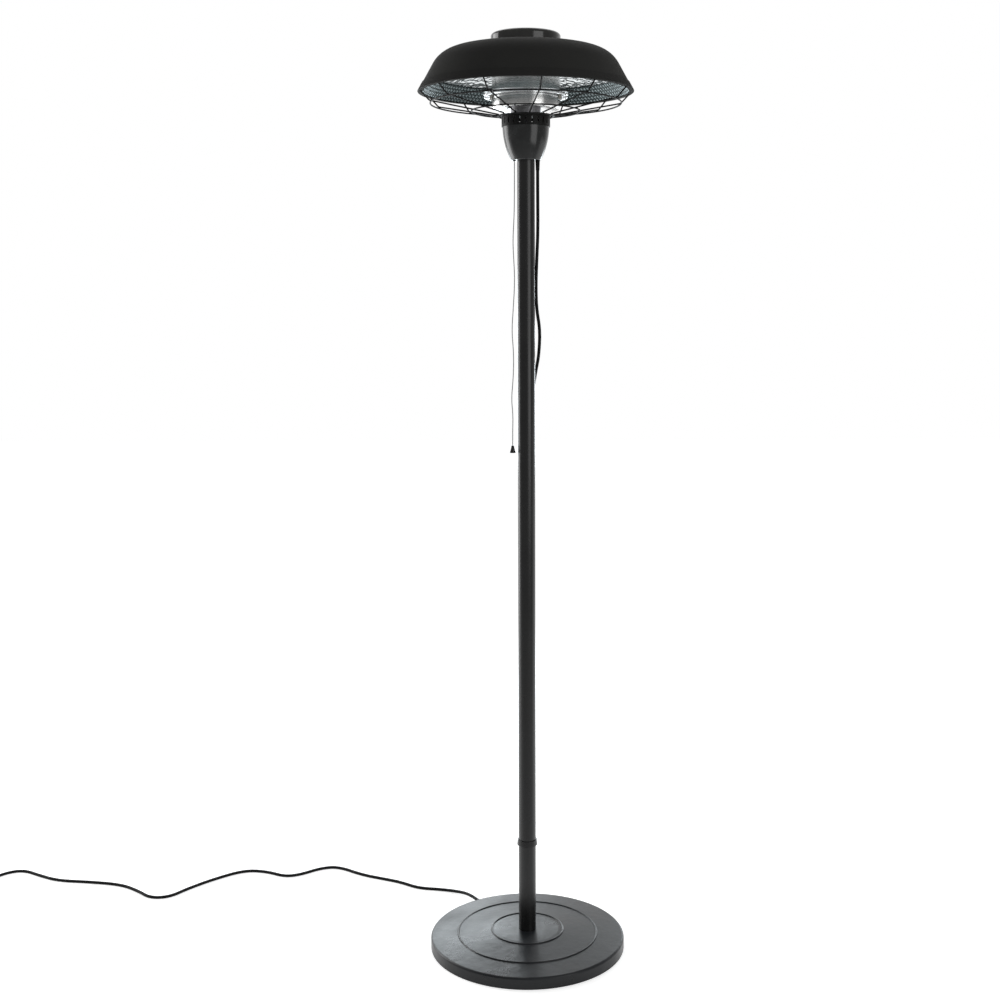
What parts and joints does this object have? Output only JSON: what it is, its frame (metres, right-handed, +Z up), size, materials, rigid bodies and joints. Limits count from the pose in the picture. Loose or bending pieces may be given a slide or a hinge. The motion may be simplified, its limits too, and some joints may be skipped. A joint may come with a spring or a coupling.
{
  "type": "patio heater",
  "caption": "Free-standing electric patio heater: domed black hood over ring lamps and a wire guard, slim pole on a round weighted base, pull cord switch and mains cord.",
  "frame": {"origin": "centre of the round base on the floor", "axes": "+Z up along the pole, -Y to the front, +X to the side of the lead beside the pole"},
  "size_m": [1.7501, 0.7169, 2.1001],
  "materials": {
    "base_paint": "satin black, fine texture",
    "pole_paint": "satin black",
    "zinc_steel": "zinc plated",
    "cast_weight": "rough casting",
    "foot_rubber": "matt",
    "cord_rubber": "satin",
    "plug_plastic": "fine grain",
    "tie_plastic": "matt",
    "pin_brass": "nickel plated",
    "cup_gloss": "high gloss black",
    "vent_paint": "satin black",
    "switch_plastic": "matt",
    "socket_ceramic": "unglazed white",
    "lead_silicone": "satin grey",
    "pull_braid": "twisted pale grey",
    "bell_plastic": "gloss black",
    "drum_polish": "polished",
    "reflector_bright": "hammered and polished",
    "skirt_dimpled": "dimpled in a honeycomb and polished",
    "quartz": "clear",
    "filament": "dark",
    "hood_paint": "matt black, fine texture",
    "rim_paint": "satin black",
    "cap_gloss": "high gloss black",
    "guard_paint": "satin black"
  },
  "bodies": {
    "heater": {"base_cover": "base_paint", "lower_pole": "pole_paint", "upper_pole": "pole_paint", "pole_collar": "pole_paint", "base_plate": "zinc_steel", "base_posts": "zinc_steel", "base_screws": "zinc_steel", "set_screws": "zinc_steel", "pole_screws": "zinc_steel", "chassis_screws": "zinc_steel", "stem": "zinc_steel", "stem_bush": "zinc_steel", "stem_nut": "zinc_steel", "stem_spacers": "zinc_steel", "neck_chassis": "zinc_steel", "joint_spigot": "zinc_steel", "pole_socket": "zinc_steel", "top_nut": "zinc_steel", "switch_spring": "zinc_steel", "base_weight": "cast_weight", "base_feet": "foot_rubber", "base_boot": "cord_rubber", "pole_boot": "cord_rubber", "neck_gland": "cord_rubber", "supply_lead": "cord_rubber", "inner_lead": "cord_rubber", "floor_cord": "cord_rubber", "cord_coil": "cord_rubber", "plug_cord": "cord_rubber", "plug_body": "plug_plastic", "coil_tie": "tie_plastic", "plug_pins": "pin_brass", "neck_cup": "cup_gloss", "vent_ring": "vent_paint", "neck_lid": "vent_paint", "switch_body": "switch_plastic", "switch_lid": "switch_plastic", "tilt_frame": "switch_plastic", "pull_bush": "switch_plastic", "terminal_block": "socket_ceramic", "lamp_sockets": "socket_ceramic", "neck_leads": "lead_silicone", "lamp_drum": "drum_polish", "reflector": "reflector_bright", "reflector_skirt": "skirt_dimpled", "lamp_tubes": "quartz", "lamp_filaments": "filament", "hood": "hood_paint", "rim_band": "rim_paint", "top_cap": "cap_gloss", "guard_wires": "guard_paint", "guard_outer_ring": "guard_paint", "guard_middle_ring": "guard_paint", "guard_hub_ring": "guard_paint"},
    "pull": {"switch_plunger": "switch_plastic", "pull_cord": "pull_braid", "pull_bell": "bell_plastic"},
    "rotor": {"switch_rotor": "switch_plastic"},
    "pendulum": {"tilt_pendulum": "zinc_steel"}
  },
  "joints": [
    {"name": "pull_slide", "type": "slide", "parent": "heater", "child": "pull", "axis": [0, 0, -1], "range_m": [0, 0.012], "stiffness_N_per_m": 200, "springref_m": -0.01, "deforming": ["switch_spring"]},
    {"name": "rotor_index", "type": "hinge", "parent": "heater", "child": "rotor", "pos_m": [-0.026, 0, 1.88], "axis": [0, 0, 1], "range_deg": [0, 150]},
    {"name": "tilt_swing", "type": "hinge", "parent": "heater", "child": "pendulum", "pos_m": [0, 0.02832, 1.8775], "axis": [1, 0, 0], "range_deg": [-12, 12]}
  ],
  "couplings": [
    {"joint": "rotor_index", "follows": "pull_slide", "rad_per_m": 130.9}
  ]
}
